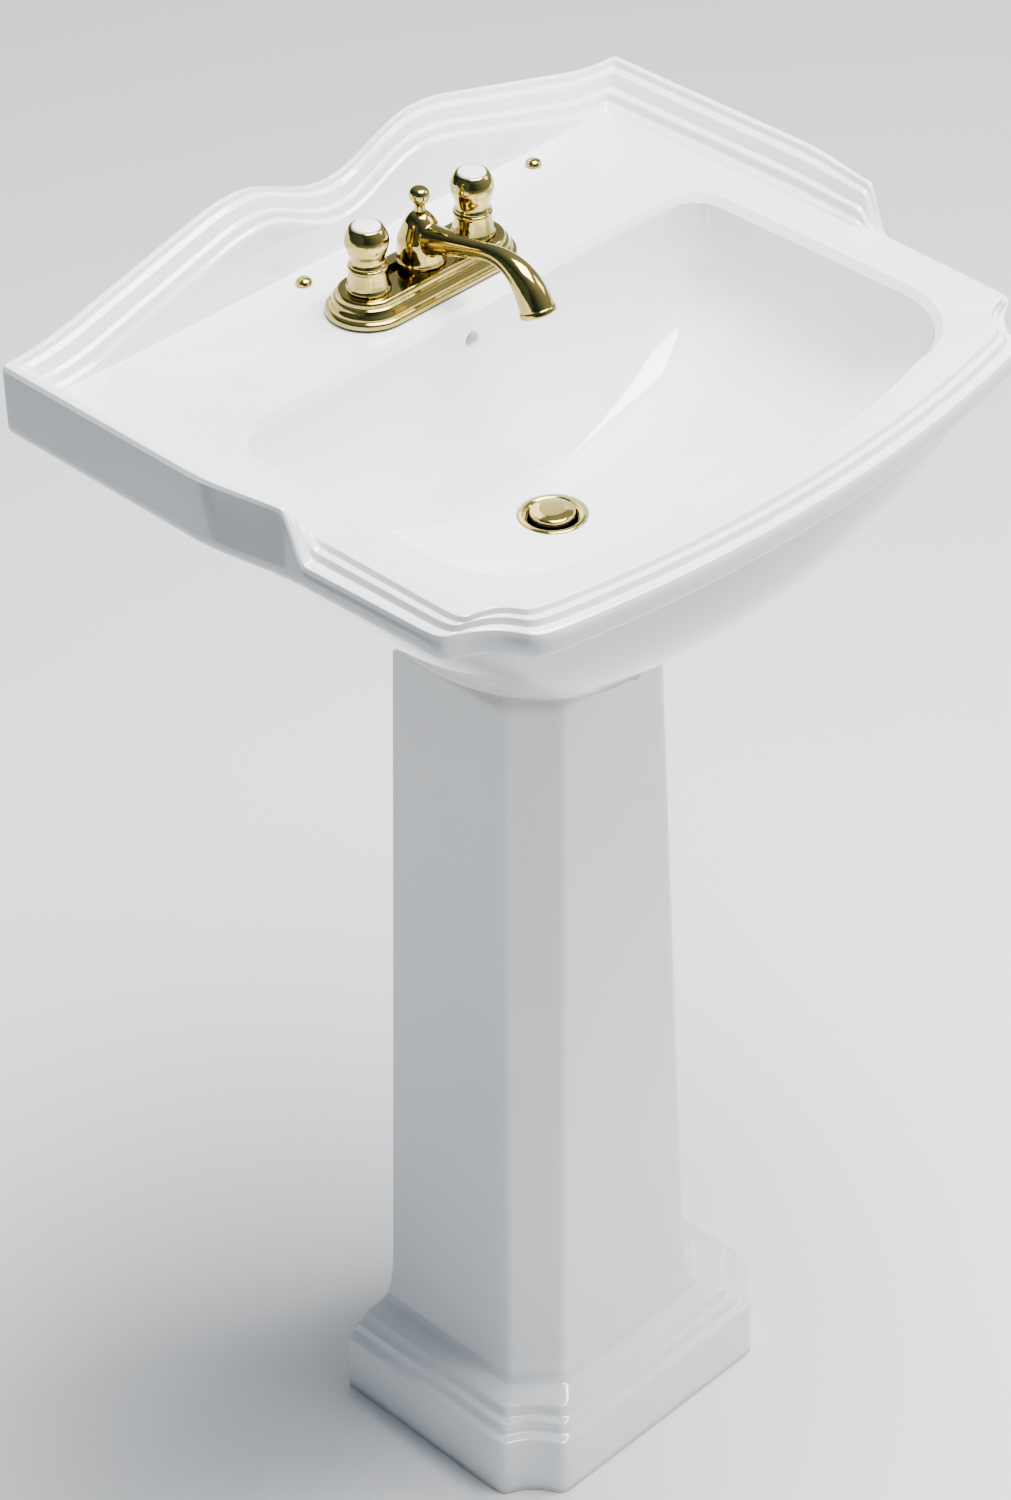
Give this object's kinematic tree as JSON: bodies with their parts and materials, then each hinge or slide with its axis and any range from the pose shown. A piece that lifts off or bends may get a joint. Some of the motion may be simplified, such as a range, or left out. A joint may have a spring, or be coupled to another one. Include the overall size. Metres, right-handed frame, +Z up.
{
  "type": "pedestal sink",
  "caption": "Pedestal sink: china basin with shaped backsplash on a hollow column, two-handle brass tap, pop-up waste and trap to the floor.",
  "frame": {"origin": "centre of the overall plan at floor level", "axes": "+Z up, +Y towards the wall, -Y towards the user, +X to the user's right"},
  "size_m": [0.483, 0.381, 0.8435],
  "materials": {
    "china": "white glazed vitreous china, high gloss, opaque",
    "polished_brass": "polished and lacquered",
    "rubber": "moulded black rubber",
    "chrome": "bright plated",
    "zinc_steel": "zinc plated steel",
    "button_white": "white, glossy, domed",
    "screen_plastic": "grey moulded plastic"
  },
  "bodies": {
    "root": {"aerator_screen": "screen_plastic", "aerator_shell": "polished_brass", "basin": "china", "cold_bonnet": "polished_brass", "cold_cartridge": "polished_brass", "cold_mounting_nut": "polished_brass", "cold_mounting_washer": "rubber", "drain_body": "polished_brass", "drain_flange": "polished_brass", "drain_gasket": "rubber", "drain_locknut": "polished_brass", "drain_washer": "chrome", "faucet_base_plate": "polished_brass", "faucet_gasket": "rubber", "faucet_waterway": "polished_brass", "fixing_nut_left": "zinc_steel", "fixing_nut_right": "zinc_steel", "fixing_screw_left": "polished_brass", "fixing_screw_right": "polished_brass", "floor_flange": "polished_brass", "hot_bonnet": "polished_brass", "hot_cartridge": "polished_brass", "hot_mounting_nut": "polished_brass", "hot_mounting_washer": "rubber", "pedestal": "china", "pivot_nut": "polished_brass", "pivot_seal": "rubber", "spout": "polished_brass", "spout_seal": "rubber", "tailpiece": "polished_brass", "trap_arm": "polished_brass", "trap_bend": "polished_brass", "trap_inlet_nut": "polished_brass", "trap_inlet_washer": "rubber", "trap_union_nut": "polished_brass", "trap_union_washer": "rubber", "wall_bracket_left": "zinc_steel", "wall_bracket_right": "zinc_steel"},
    "hot_handle": {"hot_handle": "polished_brass", "hot_handle_screw": "chrome", "hot_index_button": "button_white", "hot_valve_stem": "chrome"},
    "cold_handle": {"cold_handle": "polished_brass", "cold_handle_screw": "chrome", "cold_index_button": "button_white", "cold_valve_stem": "chrome"},
    "lift_rod": {"lift_rod": "chrome", "lift_knob": "polished_brass", "clevis_strap": "chrome", "clevis_screw": "polished_brass"},
    "pivot_rod": {"pivot_rod": "chrome"},
    "stopper": {"stopper": "polished_brass", "stopper_seal": "rubber"}
  },
  "joints": [
    {"name": "hot_handle_turn", "type": "hinge", "parent": "root", "child": "hot_handle", "pos_m": [-0.0412, 0.1111, 0.822], "axis": [0, 0, 1], "range_deg": [0, 90]},
    {"name": "cold_handle_turn", "type": "hinge", "parent": "root", "child": "cold_handle", "pos_m": [0.0412, 0.1111, 0.822], "axis": [0, 0, 1], "range_deg": [-90, 0]},
    {"name": "lift_rod_slide", "type": "slide", "parent": "root", "child": "lift_rod", "axis": [0, 0, 1], "range_m": [0, 0.01]},
    {"name": "pivot_rod_tilt", "type": "hinge", "parent": "root", "child": "pivot_rod", "pos_m": [0, 0.0335, 0.61], "axis": [1, 0, 0], "range_deg": [0, 7.4]},
    {"name": "stopper_slide", "type": "slide", "parent": "root", "child": "stopper", "axis": [0, 0, 1], "range_m": [-0.0031, 0]}
  ],
  "couplings": [
    {"joint": "pivot_rod_tilt", "follows": "lift_rod_slide", "rad_per_m": 12.887},
    {"joint": "stopper_slide", "follows": "lift_rod_slide", "ratio": -0.3093}
  ]
}
